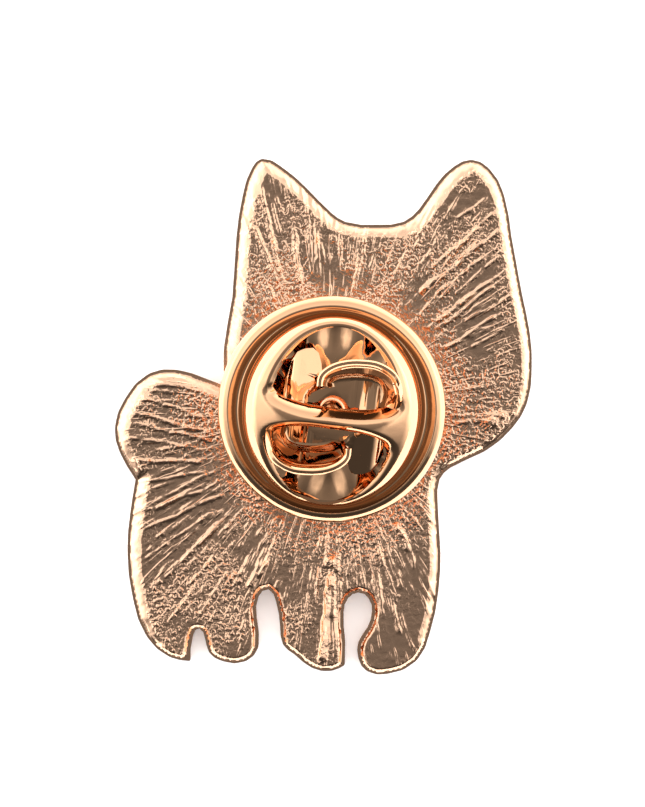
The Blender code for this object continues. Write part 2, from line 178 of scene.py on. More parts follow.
def pick_edges(piece, wanted):
    """In edit mode, selects the edges whose ends' places, in millimetres, are both wanted."""
    edit(piece)
    bpy.ops.mesh.select_mode(type="EDGE")
    bpy.ops.mesh.select_all(action="DESELECT")
    bpy.ops.object.mode_set(mode="OBJECT")
    chosen = [wanted(v.co / MM) for v in piece.data.vertices]
    piece.data.vertices.foreach_set("select", chosen)
    for edge in piece.data.edges:
        edge.select = chosen[edge.vertices[0]] and chosen[edge.vertices[1]]
    for face in piece.data.polygons:
        face.select = all(chosen[i] for i in face.vertices)
    bpy.ops.object.mode_set(mode="EDIT")


def apply_modifier(piece, kind, **settings):
    """Adds a modifier with its settings and applies it."""
    only(piece)
    modifier = piece.modifiers.new(kind.lower(), kind)
    for name, value in settings.items():
        setattr(modifier, name, value)
    bpy.ops.object.modifier_apply(modifier=modifier.name)


def copy_of(node, name):
    """A copy of a CAD part with its loose triangles merged into one skin."""
    piece = bpy.data.objects.new(name, frame["nodes"][node].data.copy())
    bpy.context.scene.collection.objects.link(piece)
    piece.data.materials.clear()
    edit(piece)
    bpy.ops.mesh.remove_doubles(threshold=MERGE)
    bpy.ops.object.mode_set(mode="OBJECT")
    return piece


MERGE = 0.0005 * MM
CUT = 1e-8
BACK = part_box("badge_casting")[1].z / MM
FLANGE_LOW, FLANGE_HIGH = 0.4, 0.76
WALL_TOP = BACK - 0.4
GRID_STEP = 0.066
# How the back rounds over at its edge: a narrow edge drops by a set height, and a wide one at a set slope.
NARROW_EDGE, LEG_EDGE = 0.3, 0.2
EDGE_DROP, EDGE_SLOPE = 0.3, 0.8

# The raised ridges of the mould that stand out most: two ends, width and height.
MAIN_RIDGES = [
    (-3.66, 11.8, -2.64, 7.0, 0.15, 0.07), (-2.0, 9.5, -1.6, 6.4, 0.24, 0.08),
    (-1.3, 10.8, -1.0, 7.0, 0.13, 0.06), (-0.7, 9.9, -0.8, 7.3, 0.1, 0.05), (0.1, 9.2, -0.1, 7.6, 0.1, 0.05),
    (-3.1, 11.0, -2.6, 9.0, 0.1, 0.05), (8.0, 11.0, 6.4, 9.8, 0.16, 0.06), (8.5, 10.3, 5.0, 7.2, 0.15, 0.07),
    (8.7, 9.4, 4.5, 6.0, 0.24, 0.08), (7.2, 9.0, 6.0, 7.9, 0.14, 0.06), (9.0, 7.3, 4.9, 4.2, 0.17, 0.07),
    (9.0, 7.0, 5.5, 4.2, 0.15, 0.07), (8.6, 5.0, 5.8, 3.2, 0.16, 0.07), (9.0, 4.3, 7.0, 3.2, 0.13, 0.06),
    (8.6, 8.5, 5.2, 5.9, 0.12, 0.06), (8.9, 8.2, 6.3, 6.0, 0.12, 0.06), (6.9, 11.6, 5.6, 9.6, 0.1, 0.05),
    (6.2, -0.6, 8.2, -0.5, 0.2, 0.06), (-0.15, -6.0, -0.25, -7.5, 0.14, 0.07),
    (-0.5, -6.1, -0.7, -7.4, 0.12, 0.06), (0.3, -6.1, 0.35, -7.4, 0.12, 0.06),
    (2.1, -6.0, 2.7, -7.9, 0.16, 0.07), (3.3, -5.6, 3.95, -7.2, 0.24, 0.08),
    (4.0, -7.2, 4.3, -8.0, 0.14, 0.07), (2.9, -9.0, 3.6, -11.5, 0.14, 0.06),
    (2.3, -8.6, 2.7, -10.6, 0.12, 0.05), (-10.3, -2.5, -6.6, -2.6, 0.16, 0.08),
    (-10.3, 0.0, -6.0, -1.2, 0.17, 0.08), (-10.2, -0.6, -6.2, -1.5, 0.13, 0.07),
    (-9.8, 0.8, -6.4, -0.4, 0.13, 0.06), (-10.5, -1.3, -6.8, -1.9, 0.13, 0.06),
    (-9.7, -3.6, -6.4, -3.1, 0.13, 0.06), (-9.7, -5.1, -6.5, -4.0, 0.16, 0.07),
    (-9.7, -6.1, -5.5, -4.2, 0.17, 0.07), (-9.2, -9.2, -5.8, -5.8, 0.16, 0.07),
    (-8.5, -11.0, -6.6, -8.5, 0.15, 0.07), (-9.6, -7.6, -6.2, -5.2, 0.13, 0.06),
    (-4.4, -9.2, -3.6, -7.6, 0.26, 0.08), (-3.9, -8.8, -3.2, -7.2, 0.15, 0.07),
    (-5.1, -9.0, -4.1, -7.4, 0.14, 0.07), (-7.4, -9.0, -5.6, -7.0, 0.13, 0.06),
]
# The burr where the mould's gate was broken off: a low ledge with its broad side to the left.
BURR = (-0.12, -8.2, -0.6, -12.9, 0.46, 0.27)
# Where short ridges are scattered: the sector's start and end in degrees, how many ridges, and their
# inner and outer reach from the post.
RIDGE_SECTORS = [
    (28, 68, 80, 5.5, 12.5), (86, 116, 60, 6.0, 12.5), (68, 86, 16, 6.2, 9.2), (116, 150, 30, 5.6, 8.0),
    (150, 205, 50, 6.0, 10.8), (205, 250, 90, 5.8, 12.5), (250, 300, 80, 5.8, 12.6), (300, 332, 14, 5.8, 8.0),
    (-25, 28, 14, 5.8, 8.2),
]
# Round nodules where the mould's skin had blistered: place, radius and height.
NODULES = [(8.2, -0.5, 0.42, 0.2), (8.75, -0.25, 0.25, 0.14), (0.0, -7.7, 0.4, 0.2), (0.25, -8.1, 0.25, 0.12)]


def to_wall(x, y, walls):
    """How far each point is from the nearest stretch of wall, in widths of its edge, and that width."""
    nearest, widths = np.full(len(x), 1e9), np.zeros(len(x))
    for (ax, ay), (bx, by), width in walls:
        dx, dy = bx - ax, by - ay
        close = (x > min(ax, bx) - 1) & (x < max(ax, bx) + 1)
        close &= (y > min(ay, by) - 1) & (y < max(ay, by) + 1)
        t = np.clip(((x[close] - ax) * dx + (y[close] - ay) * dy) / max(dx * dx + dy * dy, 1e-12), 0, 1)
        away = np.hypot(x[close] - ax - t * dx, y[close] - ay - t * dy) / width
        widths[close] = np.where(away < nearest[close], width, widths[close])
        nearest[close] = np.minimum(nearest[close], away)
    return nearest, widths


def raise_ridge(x, y, z, ax, ay, bx, by, width, rise, wobble):
    """Raises a ridge with tapered ends and an uneven crest along the line from a to b."""
    dx, dy = bx - ax, by - ay
    length = math.hypot(dx, dy)
    near = (x > min(ax, bx) - 1) & (x < max(ax, bx) + 1)
    near &= (y > min(ay, by) - 1) & (y < max(ay, by) + 1)
    px, py = x[near] - ax, y[near] - ay
    along = (px * dx + py * dy) / length
    across = (px * dy - py * dx) / length + 0.25 * width * np.sin(along * 2.3 + wobble)
    t = np.clip(along / length, -0.5, 1.5)
    ends = np.clip(np.minimum(t, 1 - t) * length / 0.5, -1, 1)
    taper = np.where(ends > 0, np.sin(ends * math.pi / 2), 0)
    crest = 1 + 0.3 * np.sin(along * 5.1 + 2 * wobble) + 0.2 * np.sin(along * 11.7 + wobble)
    z[near] += rise * taper * crest * np.exp(-(np.abs(across / (0.5 * width)) ** 1.5))


def mould_skin(x, y, walls):
    """The height of the cast back above the table, at each point, in millimetres."""
    z = np.full(len(x), BACK - 0.02)
    rng = random.Random(7)
    for ax, ay, bx, by, width, rise in MAIN_RIDGES:
        raise_ridge(x, y, z, ax, ay, bx, by, 0.85 * width, 1.4 * rise, rng.uniform(0, 6))
    for start, end, count, inner, outer in RIDGE_SECTORS:
        for _ in range(count):
            turn = math.radians(rng.uniform(start, end))
            length = rng.choice((0.5, 0.8, 1.2, 1.8, 2.6, 3.4)) * rng.uniform(0.8, 1.2)
            reach = rng.uniform(inner, max(inner + 0.2, outer - 0.7 * length))
            skew = turn + rng.gauss(0, 0.04)
            ax, ay = reach * math.cos(turn), reach * math.sin(turn)
            bx, by = ax + length * math.cos(skew), ay + length * math.sin(skew)
            width, rise = rng.uniform(0.09, 0.16), rng.uniform(0.02, 0.07)
            raise_ridge(x, y, z, ax, ay, bx, by, width, rise, rng.uniform(0, 6))
    ax, ay, bx, by, width, rise = BURR
    length = math.hypot(bx - ax, by - ay)
    along = ((x - ax) * (bx - ax) + (y - ay) * (by - ay)) / length
    across = ((x - ax) * (by - ay) - (y - ay) * (bx - ax)) / length
    across += 0.03 * np.sin(along * 4.0) + 0.02 * np.sin(along * 9.0 + 1)
    ledge = np.minimum(np.clip(across / width + 0.9, 0, 1), np.clip((0.1 - across) / 0.08, 0, 1))
    z += rise * ledge * np.clip(np.minimum(along, length - along) / 0.3, 0, 1)
    for nx, ny, radius, rise in NODULES:
        away = np.hypot(x - nx, y - ny) / radius
        z += rise * np.exp(-(away ** 2) * 1.6)
    grit = np.random.default_rng(11)
    for size, rise in ((0.5, 0.006), (0.22, 0.008), (0.11, 0.006)):
        waves = grit.normal(size=(14, 2)) / size
        phase = grit.uniform(0, 6.28, 14)
        for (wx, wy), p in zip(waves, phase):
            z += rise / 3.7 * np.sin(x * wx + y * wy + p)
    away, widths = to_wall(x, y, walls)
    drop = np.clip(1 - away, 0, 1)
    narrow = widths < NARROW_EDGE
    z -= np.where(narrow, EDGE_DROP * drop ** 1.8, EDGE_SLOPE * widths * drop ** 1.3)
    return z


def outline_at(piece, height):
    """The longest closed line of edges at this height, in order, in millimetres."""
    edit(piece)
    bpy.ops.mesh.bisect(plane_co=(0, 0, height * MM), plane_no=(0, 0, 1), threshold=CUT)
    bpy.ops.object.mode_set(mode="OBJECT")
    level = {v.index for v in piece.data.vertices if abs(v.co.z / MM - height) < 0.0005}
    beside = {i: [] for i in level}
    for edge in piece.data.edges:
        a, b = edge.vertices
        if a in level and b in level:
            beside[a].append(b)
            beside[b].append(a)
    here = min((i for i in level if len(beside[i]) == 2), key=lambda i: piece.data.vertices[i].co.x)
    walk, before = [here], None
    while True:
        onward = [i for i in beside[walk[-1]] if i != before]
        before = walk[-1]
        if not onward or onward[0] == here:
            return [piece.data.vertices[i].co.xy / MM for i in walk]
        walk.append(onward[0])


def smoothed(loop):
    """The same outline with its corners cut off twice."""
    for _ in range(2):
        after = loop[1:] + loop[:1]
        loop = [a * share + b * (1 - share) for a, b in zip(loop, after) for share in (0.75, 0.25)]
    return loop


def blank(loop, height):
    """One flat face with this outline, in millimetres."""
    bpy.ops.object.select_all(action="DESELECT")
    bpy.ops.mesh.primitive_circle_add(vertices=len(loop), radius=1 * MM, fill_type="NGON")
    face = bpy.context.object
    for vertex, (x, y) in zip(face.data.vertices, loop):
        vertex.co = (x * MM, y * MM, height * MM)
    return face


def prism(loop, low, high):
    """A solid with this outline between two heights."""
    block = blank(loop, low)
    edit(block)
    bpy.ops.mesh.extrude_region_move(TRANSFORM_OT_translate={"value": (0, 0, (high - low) * MM)})
    bpy.ops.mesh.select_all(action="SELECT")
    bpy.ops.mesh.normals_make_consistent(inside=False)
    bpy.ops.object.mode_set(mode="OBJECT")
    return block


# The back is sawn off below its edge, the walls are drawn up past it, and both steps of the outline are
# trimmed to a smooth line.
casting = copy_of("badge_casting", "cast_badge")
edit(casting)
bpy.ops.mesh.bisect(plane_co=(0, 0, WALL_TOP * MM), plane_no=(0, 0, 1), clear_outer=True, threshold=CUT)
pick_edges(casting, lambda p: abs(p.z - WALL_TOP) < 0.001)
bpy.ops.mesh.extrude_region_move(TRANSFORM_OT_translate={"value": (0, 0, 1 * MM)})
bpy.ops.mesh.edge_face_add()
bpy.ops.object.mode_set(mode="OBJECT")
flange = prism(smoothed(outline_at(casting, FLANGE_LOW)), -1, FLANGE_HIGH)
body = prism(smoothed(outline_at(casting, WALL_TOP)), FLANGE_LOW, 4)
apply_modifier(flange, "BOOLEAN", operation="UNION", solver="EXACT", object=body)
apply_modifier(casting, "BOOLEAN", operation="INTERSECT", solver="EXACT", object=flange)
bpy.data.objects.remove(flange)
bpy.data.objects.remove(body)

# Each stretch of the wall with the width of its rounded edge, which is widest on the side of the tail.
rim_walls = []
for face in casting.data.polygons:
    corners = [casting.data.vertices[i].co / MM for i in face.vertices]
    ends = [corner.xy for corner in corners if corner.z > WALL_TOP + 0.9]
    if len(ends) == 2 and abs(face.normal.z) < 0.3:
        across, along, _ = face.normal
        edge_width = 0.2 + 0.38 * max(-across, 0) + 0.3 * max(along, 0) + 0.2 * max(across, 0)
        if ends[0].y < -8.7 and -9.0 < ends[0].x < 4.8:
            edge_width = LEG_EDGE
        rim_walls.append((ends[0][:], ends[1][:], edge_width))

# The mould: a fine grid whose height is the cast back's, closed into a block that trims the casting.
low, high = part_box("badge_casting")
size_x, size_y = (high.x - low.x) / MM + 0.6, (high.y - low.y) / MM + 0.6
bpy.ops.object.select_all(action="DESELECT")
bpy.ops.mesh.primitive_grid_add(
    x_subdivisions=round(size_x / GRID_STEP), y_subdivisions=round(size_y / GRID_STEP), size=1,
)
mould = bpy.context.object
mould.name = "mould"
mould.scale = (size_x * MM, size_y * MM, 1)
mould.location = ((low.x + high.x) / 2, (low.y + high.y) / 2, 0)
bpy.ops.object.transform_apply(location=True, rotation=True, scale=True)
places = np.empty(len(mould.data.vertices) * 3)
mould.data.vertices.foreach_get("co", places)
places = places.reshape(-1, 3)
places[:, 2] = mould_skin(places[:, 0] / MM, places[:, 1] / MM, rim_walls) * MM
mould.data.vertices.foreach_set("co", places.ravel())
mould.data.update()
only(mould)
bpy.ops.object.mode_set(mode="EDIT")
bpy.ops.mesh.select_mode(type="EDGE")
bpy.ops.mesh.select_all(action="DESELECT")
bpy.ops.mesh.select_non_manifold(extend=False)
bpy.ops.mesh.extrude_region_move(TRANSFORM_OT_translate={"value": (0, 0, -6 * MM)})
bpy.ops.transform.resize(value=(1, 1, 0), center_override=(0, 0, -3 * MM))
bpy.ops.mesh.edge_face_add()
bpy.ops.mesh.select_all(action="SELECT")
bpy.ops.mesh.normals_make_consistent(inside=False)
bpy.ops.object.mode_set(mode="OBJECT")
apply_modifier(casting, "BOOLEAN", operation="INTERSECT", solver="MANIFOLD", object=mould)
bpy.data.objects.remove(mould)
only(casting)
bpy.ops.object.shade_smooth_by_angle(angle=math.radians(40))

# The upright wall is shaded apart from the rounded edge above it, so that its long facets stay even.
skin = casting.data
upright = np.array([abs(face.normal.z) < 0.15 for face in skin.polygons])
face_of_corner = np.repeat(np.arange(len(skin.polygons)), [face.loop_total for face in skin.polygons])
edge_of_corner = np.empty(len(skin.loops), dtype=int)
skin.loops.foreach_get("edge_index", edge_of_corner)
beside_wall = np.bincount(edge_of_corner, weights=upright[face_of_corner], minlength=len(skin.edges))
beside_rest = np.bincount(edge_of_corner, weights=~upright[face_of_corner], minlength=len(skin.edges))
for i in np.flatnonzero((beside_wall > 0) & (beside_rest > 0)):
    skin.edges[int(i)].use_edge_sharp = True


def metal(name, colour, roughness):
    """A metal that bends no light through it, so only its colour and its roughness are set."""
    material = bpy.data.materials.new(name)
    material.use_nodes = True
    shader = material.node_tree.nodes["Principled BSDF"]
    shader.inputs["Base Color"].default_value = linear(colour)
    shader.inputs["Metallic"].default_value = 1
    shader.inputs["Roughness"].default_value = roughness
    return material, material.node_tree, shader


def coat(piece, material):
    """Gives the whole piece one material."""
    piece.data.materials.clear()
    piece.data.materials.append(material)
    piece.data.polygons.foreach_set("material_index", [0] * len(piece.data.polygons))


def per_mm(pattern_mm):
    """A texture scale at which one wave of the pattern is this many millimetres long."""
    return 1 / (pattern_mm * MM)


# Rose-gold flash over an unpolished zinc casting. The plating is only microns thick, so the sand of the
# mould shows through it as glitter, and fine scratches of the mould run out from the post like spokes.
cast_gold, tree, shader = metal("Rose-gold plated zinc as cast", "#F9CCAB", 0.16)
place = add_node(tree, "ShaderNodeTexCoord").outputs["Object"]
parts = add_node(tree, "ShaderNodeSeparateXYZ", [("Vector", place)])
level = add_node(tree, "ShaderNodeVectorMath", [(0, place), (1, (1, 1, 0))], operation="MULTIPLY")
reach = add_node(tree, "ShaderNodeVectorMath", [(0, level.outputs["Vector"])], operation="LENGTH")

# Scratches: a noise that is drawn out along the spokes, 42 waves to a radian and 1.7 mm long.
round_post = add_node(tree, "ShaderNodeVectorMath", [(0, level.outputs["Vector"])], operation="NORMALIZE")
round_post = add_node(
    tree, "ShaderNodeVectorMath", [(0, round_post.outputs["Vector"]), ("Scale", 42)], operation="SCALE",
)
outwards = add_node(
    tree, "ShaderNodeMath", [(0, reach.outputs["Value"]), (1, per_mm(1.7))], operation="MULTIPLY",
)
outwards = add_node(tree, "ShaderNodeCombineXYZ", [("Z", outwards.outputs[0])])
spoke = add_node(
    tree, "ShaderNodeVectorMath", [(0, round_post.outputs["Vector"]), (1, outwards.outputs["Vector"])],
)
scratches = add_node(
    tree, "ShaderNodeTexNoise",
    [("Vector", spoke.outputs["Vector"]), ("Scale", 1.0), ("Detail", 1.0), ("Roughness", 0.5)],
)
scratches = set_ramp(
    add_node(tree, "ShaderNodeValToRGB", [("Fac", scratches.outputs["Fac"])]), [(0.6, 0.0), (0.74, 1.0)],
)

# Sand: grains 0.2 mm wide, coarser than the mould's real grain, which would not show.
fine_grit = add_node(
    tree, "ShaderNodeTexNoise",
    [("Vector", place), ("Scale", per_mm(0.2)), ("Detail", 1.5), ("Roughness", 0.6)],
)
grains = add_node(
    tree, "ShaderNodeTexVoronoi", [("Vector", place), ("Scale", per_mm(0.21)), ("Smoothness", 0.4)],
    feature="SMOOTH_F1",
)
grit = add_node(
    tree, "ShaderNodeMath", [(0, grains.outputs["Distance"]), (1, -0.5), (2, fine_grit.outputs["Fac"])],
    operation="MULTIPLY_ADD",
)
droplets = add_node(
    tree, "ShaderNodeMapRange",
    [("Value", grit.outputs[0]), ("From Min", 0.1), ("From Max", 0.52), ("To Max", 0.42)],
    interpolation_type="SMOOTHSTEP",
)

# How sandy each part is: in patches 2.6 mm wide, more so close to the post and under the hind leg.
patches = add_node(tree, "ShaderNodeTexNoise", [("Vector", place), ("Scale", per_mm(2.6)), ("Detail", 2.0)])
worn = add_node(
    tree, "ShaderNodeMapRange",
    [("Value", patches.outputs["Fac"]), ("From Min", 0.38), ("From Max", 0.62), ("To Min", 0.14),
     ("To Max", 0.9)],
)
near_post = add_node(
    tree, "ShaderNodeMapRange",
    [("Value", reach.outputs["Value"]), ("From Min", 5.5 * MM), ("From Max", 8.5 * MM), ("To Min", 1.4),
     ("To Max", 0.85)],
)
sandy = add_node(
    tree, "ShaderNodeMath", [(0, worn.outputs["Result"]), (1, near_post.outputs["Result"])],
    operation="MULTIPLY",
)
forward = add_node(
    tree, "ShaderNodeMapRange",
    [("Value", parts.outputs["X"]), ("From Min", -3.5 * MM), ("From Max", 1 * MM), ("To Min", 0.3),
     ("To Max", -0.6)],
)
legward = add_node(
    tree, "ShaderNodeMapRange", [("Value", parts.outputs["Y"]), ("From Min", -6.5 * MM), ("From Max", -9 * MM)],
)
sandier = add_node(
    tree, "ShaderNodeMath", [(0, forward.outputs["Result"]), (1, legward.outputs["Result"]), (2, 1.0)],
    operation="MULTIPLY_ADD",
)
sandy = add_node(tree, "ShaderNodeMath", [(0, sandy.outputs[0]), (1, sandier.outputs[0])], operation="MULTIPLY")
sand = add_node(
    tree, "ShaderNodeMath", [(0, droplets.outputs["Result"]), (1, sandy.outputs[0])], operation="MULTIPLY",
)
relief = add_node(
    tree, "ShaderNodeMath", [(0, scratches.outputs["Color"]), (1, 0.28), (2, sand.outputs[0])],
    operation="MULTIPLY_ADD",
)
on_back = add_node(
    tree, "ShaderNodeMapRange",
    [("Value", parts.outputs["Z"]), ("From Min", (BACK - 0.16) * MM), ("From Max", (BACK - 0.05) * MM),
     ("To Min", 0.04), ("To Max", 1.0)],
)
bump = add_node(
    tree, "ShaderNodeBump",
    [("Height", relief.outputs[0]), ("Strength", on_back.outputs["Result"]), ("Distance", 0.115 * MM)],
)
tree.links.new(bump.outputs["Normal"], shader.inputs["Normal"])

# Handling has dulled it a little in clouds 1.5 mm wide, and the heat of soldering has dulled it by the post.
clouds = add_node(tree, "ShaderNodeTexNoise", [("Vector", place), ("Scale", per_mm(1.5)), ("Detail", 4.0)])
haze = add_node(
    tree, "ShaderNodeMapRange", [("Value", clouds.outputs["Fac"]), ("To Min", 0.08), ("To Max", 0.18)],
)
duller = add_node(
    tree, "ShaderNodeMapRange",
    [("Value", reach.outputs["Value"]), ("From Min", 5.5 * MM), ("From Max", 8 * MM), ("To Min", 2.1),
     ("To Max", 1.0)],
)
haze = add_node(
    tree, "ShaderNodeMath", [(0, haze.outputs["Result"]), (1, duller.outputs["Result"])], operation="MULTIPLY",
)
tree.links.new(haze.outputs[0], shader.inputs["Roughness"])
coat(casting, cast_gold)
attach(casting, "badge")
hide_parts("badge_casting")


# ---- Enamel
# Cured enamel in the cells of the face: it is poured in as a thick liquid, dries a little below the
# metal lines, and has a glassy skin with a faint unevenness.

ENAMELS = {
    "enamel_tan": ("Tan gloss enamel", "#D08C45"),
    "enamel_white": ("Ivory gloss enamel", "#F2EEE4"),
    "enamel_pink": ("Pink gloss enamel", "#E59A98"),
    "enamel_black": ("Black gloss enamel", "#17130F"),
}
slot_of = {entry["node"]: entry["material_slot"] for entry in frame["record"]["subparts"]}
for slot, (name, colour) in ENAMELS.items():
    enamel = bpy.data.materials.new(name)
    enamel.use_nodes = True
    tree = enamel.node_tree
    shader = tree.nodes["Principled BSDF"]
    shader.inputs["Roughness"].default_value = 0.12
    shader.inputs["IOR"].default_value = 1.52
    shader.inputs["Coat Weight"].default_value = 0.6
    shader.inputs["Coat Roughness"].default_value = 0.04
    place = add_node(tree, "ShaderNodeTexCoord").outputs["Object"]
    # The pigment has settled in swirls 1.8 mm wide, where the colour is a seventh darker.
    flow = add_node(tree, "ShaderNodeTexNoise", [("Vector", place), ("Scale", per_mm(1.8)), ("Detail", 2.0)])
    settled = (*[0.86 * c for c in linear(colour)[:3]], 1)
    tint = add_node(
        tree, "ShaderNodeMix", [("Factor", flow.outputs["Fac"]), ("A", settled), ("B", linear(colour))],
        data_type="RGBA",
    )
    tree.links.new(tint.outputs["Result"], shader.inputs["Base Color"])
    bump = add_node(
        tree, "ShaderNodeBump",
        [("Height", flow.outputs["Fac"]), ("Strength", 0.15), ("Distance", 0.03 * MM)],
    )
    tree.links.new(bump.outputs["Normal"], shader.inputs["Normal"])
    for node, node_slot in slot_of.items():
        if node_slot == slot:
            mesh = frame["nodes"][node].data
            mesh.materials.clear()
            mesh.materials.append(enamel)


# ---- Post and solder
# The nail: drawn wire with a flat stamped foot, a groove near its pointed tip for the clutch's levers,
# and a fillet of solder that was melted round the foot before the pin was plated.

def turn(name, rings, segments=64, closed_top=True):
    """A turned shape: a ring is extruded and resized to each next radius and height. An open one that
    ends on its first ring is joined up there."""
    bpy.ops.object.select_all(action="DESELECT")
    radius, height = rings[0]
    bpy.ops.mesh.primitive_circle_add(vertices=segments, radius=radius * MM, location=(0, 0, height * MM))
    piece = bpy.context.object
    piece.name = name
    bpy.ops.object.transform_apply(location=True, rotation=True, scale=True)
    edit(piece)
    bpy.ops.mesh.select_mode(type="EDGE")
    bpy.ops.mesh.select_all(action="SELECT")
    for next_radius, next_height in rings[1:]:
        rise = (0, 0, (next_height - height) * MM)
        bpy.ops.mesh.extrude_edges_move(TRANSFORM_OT_translate={"value": rise})
        ratio = next_radius / radius
        bpy.ops.transform.resize(value=(ratio, ratio, 1), center_override=(0, 0, next_height * MM))
        radius, height = next_radius, next_height
    if closed_top:
        bpy.ops.mesh.merge(type="CENTER")
    bpy.ops.mesh.select_all(action="SELECT")
    if rings[0] == rings[-1]:
        bpy.ops.mesh.remove_doubles(threshold=MERGE)
    bpy.ops.mesh.normals_make_consistent(inside=False)
    bpy.ops.object.mode_set(mode="OBJECT")
    return piece


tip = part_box("post")[1].z / MM
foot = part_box("post")[0].z / MM
post = turn("post_nail", [
    (0.05, foot), (1.15, foot), (1.2, foot + 0.05), (1.2, foot + 0.18), (1.15, foot + 0.25),
    (0.78, foot + 0.26), (0.66, foot + 0.3), (0.59, foot + 0.42), (0.58, foot + 0.6), (0.58, tip - 1.75),
    (0.56, tip - 1.7),
    (0.48, tip - 1.6), (0.47, tip - 1.55), (0.47, tip - 1.4), (0.48, tip - 1.35), (0.56, tip - 1.27),
    (0.58, tip - 1.22), (0.57, tip - 1.05), (0.53, tip - 0.9), (0.3, tip - 0.42), (0.12, tip - 0.07),
    (0.04, tip - 0.005),
], 48)
apply_modifier(post, "SUBSURF", levels=1, render_levels=1)
only(post)
bpy.ops.object.shade_smooth()

# Rose gold on drawn wire: bright, with the fine rings that the lathe leaves. They are drawn 0.9 mm apart,
# because the real ones are too fine to show.
wire_gold, tree, shader = metal("Rose-gold plated drawn wire", "#FACBAA", 0.14)
place = add_node(tree, "ShaderNodeTexCoord").outputs["Object"]
rings = add_node(
    tree, "ShaderNodeTexWave",
    [("Vector", place), ("Scale", per_mm(0.9)), ("Distortion", 1.5), ("Detail", 2.0)], bands_direction="Z",
)
bump = add_node(
    tree, "ShaderNodeBump", [("Height", rings.outputs["Fac"]), ("Strength", 0.1), ("Distance", 0.01 * MM)],
)
tree.links.new(bump.outputs["Normal"], shader.inputs["Normal"])
coat(post, wire_gold)
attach(post, "badge")
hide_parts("post")

solder = turn("solder_fillet", [
    (1.22, foot + 0.01), (1.74, foot + 0.005), (1.72, foot + 0.05), (1.6, foot + 0.09), (1.45, foot + 0.12),
    (1.32, foot + 0.17), (1.24, foot + 0.22), (1.22, foot + 0.2), (1.22, foot + 0.01),
], 72, closed_top=False)
for vertex in solder.data.vertices:
    angle = math.atan2(vertex.co.y, vertex.co.x)
    if vertex.co.xy.length > 1.3 * MM:
        vertex.co.xy *= 1 + 0.03 * math.sin(3 * angle + 1) + 0.02 * math.sin(7 * angle)
apply_modifier(solder, "SUBSURF", levels=1, render_levels=1)
only(solder)
bpy.ops.object.shade_smooth()

# Solder under the same plating: it froze in soft waves half a millimetre long, so it is a little duller
# than the wire.
solder_gold, tree, shader = metal("Rose-gold plated solder", "#EFC0A0", 0.26)
place = add_node(tree, "ShaderNodeTexCoord").outputs["Object"]
waves = add_node(tree, "ShaderNodeTexNoise", [("Vector", place), ("Scale", per_mm(0.5)), ("Detail", 3.0)])
bump = add_node(
    tree, "ShaderNodeBump", [("Height", waves.outputs["Fac"]), ("Strength", 0.4), ("Distance", 0.05 * MM)],
)
tree.links.new(bump.outputs["Normal"], shader.inputs["Normal"])
coat(solder, solder_gold)
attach(solder, "badge")
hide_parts("post_solder")


# ---- Clutch base plate
# A disc blanked from thin brass sheet and plated, raised round its hole. It is held in the rolled rim of
# the cap and presses on the cloth.

# The clutch leans a little on the post, so its pieces are made upright and then laid along its joints.
joint_of = {joint["name"]: joint for joint in frame["joints"]}
clutch_up = Vector(joint_of["clutch_turn"]["axis"]).normalized()
clutch_across = Vector(joint_of["wing_upper_squeeze"]["axis"]).normalized()
clutch_along = clutch_up.cross(clutch_across)
LEVER_PIVOT = 1.6
underside = Vector(joint_of["clutch_turn"]["pos_m"]) - clutch_up * LEVER_PIVOT * MM
lean = Matrix((clutch_across, clutch_along, clutch_up)).transposed().to_4x4()
onto_post = Matrix.Translation(underside) @ lean


def set_on_clutch(piece):
    """Moves a piece made on the world's axes, with the clutch's underside at zero, onto the leaning clutch."""
    piece.data.transform(onto_post)
    piece.data.update()
    only(piece)
    bpy.ops.object.shade_smooth()


plate = turn("base_plate", [
    (0.86, 0.46), (0.88, 0.41), (1.1, 0.4), (1.35, 0.36), (1.6, 0.315), (2.55, 0.315), (2.9, 0.315),
    (3.3, 0.315), (3.7, 0.315), (4.1, 0.315), (4.5, 0.315), (4.85, 0.315), (5.08, 0.315), (5.13, 0.35),
    (5.13, 0.48),
    (5.08, 0.52), (4.85, 0.52), (4.5, 0.52), (4.1, 0.52), (3.7, 0.52), (3.3, 0.52), (2.9, 0.52), (2.55, 0.52),
    (1.62, 0.52), (1.4, 0.56), (1.15, 0.61), (0.92, 0.63), (0.86, 0.6), (0.86, 0.46),
], 96, closed_top=False)
apply_modifier(
    plate, "BEVEL", width=0.02 * MM, segments=2, limit_method="ANGLE", angle_limit=math.radians(40),
)

# Ten shallow ribs are pressed into the ring of plate under the wings.
RIB_RING, RIB_REACH, RIB_HEIGHT, RIB_SINK = 3.8, 1.2, 0.17, 0.05
for vertex in plate.data.vertices:
    angle, out = math.atan2(vertex.co.y, vertex.co.x), vertex.co.xy.length / MM
    ribbed = 1 - abs(out - RIB_RING) / RIB_REACH
    if ribbed > 0:
        vertex.co.z += (RIB_HEIGHT * math.sin(10 * angle + 0.8) - RIB_SINK) * ribbed ** 0.6 * MM
set_on_clutch(plate)

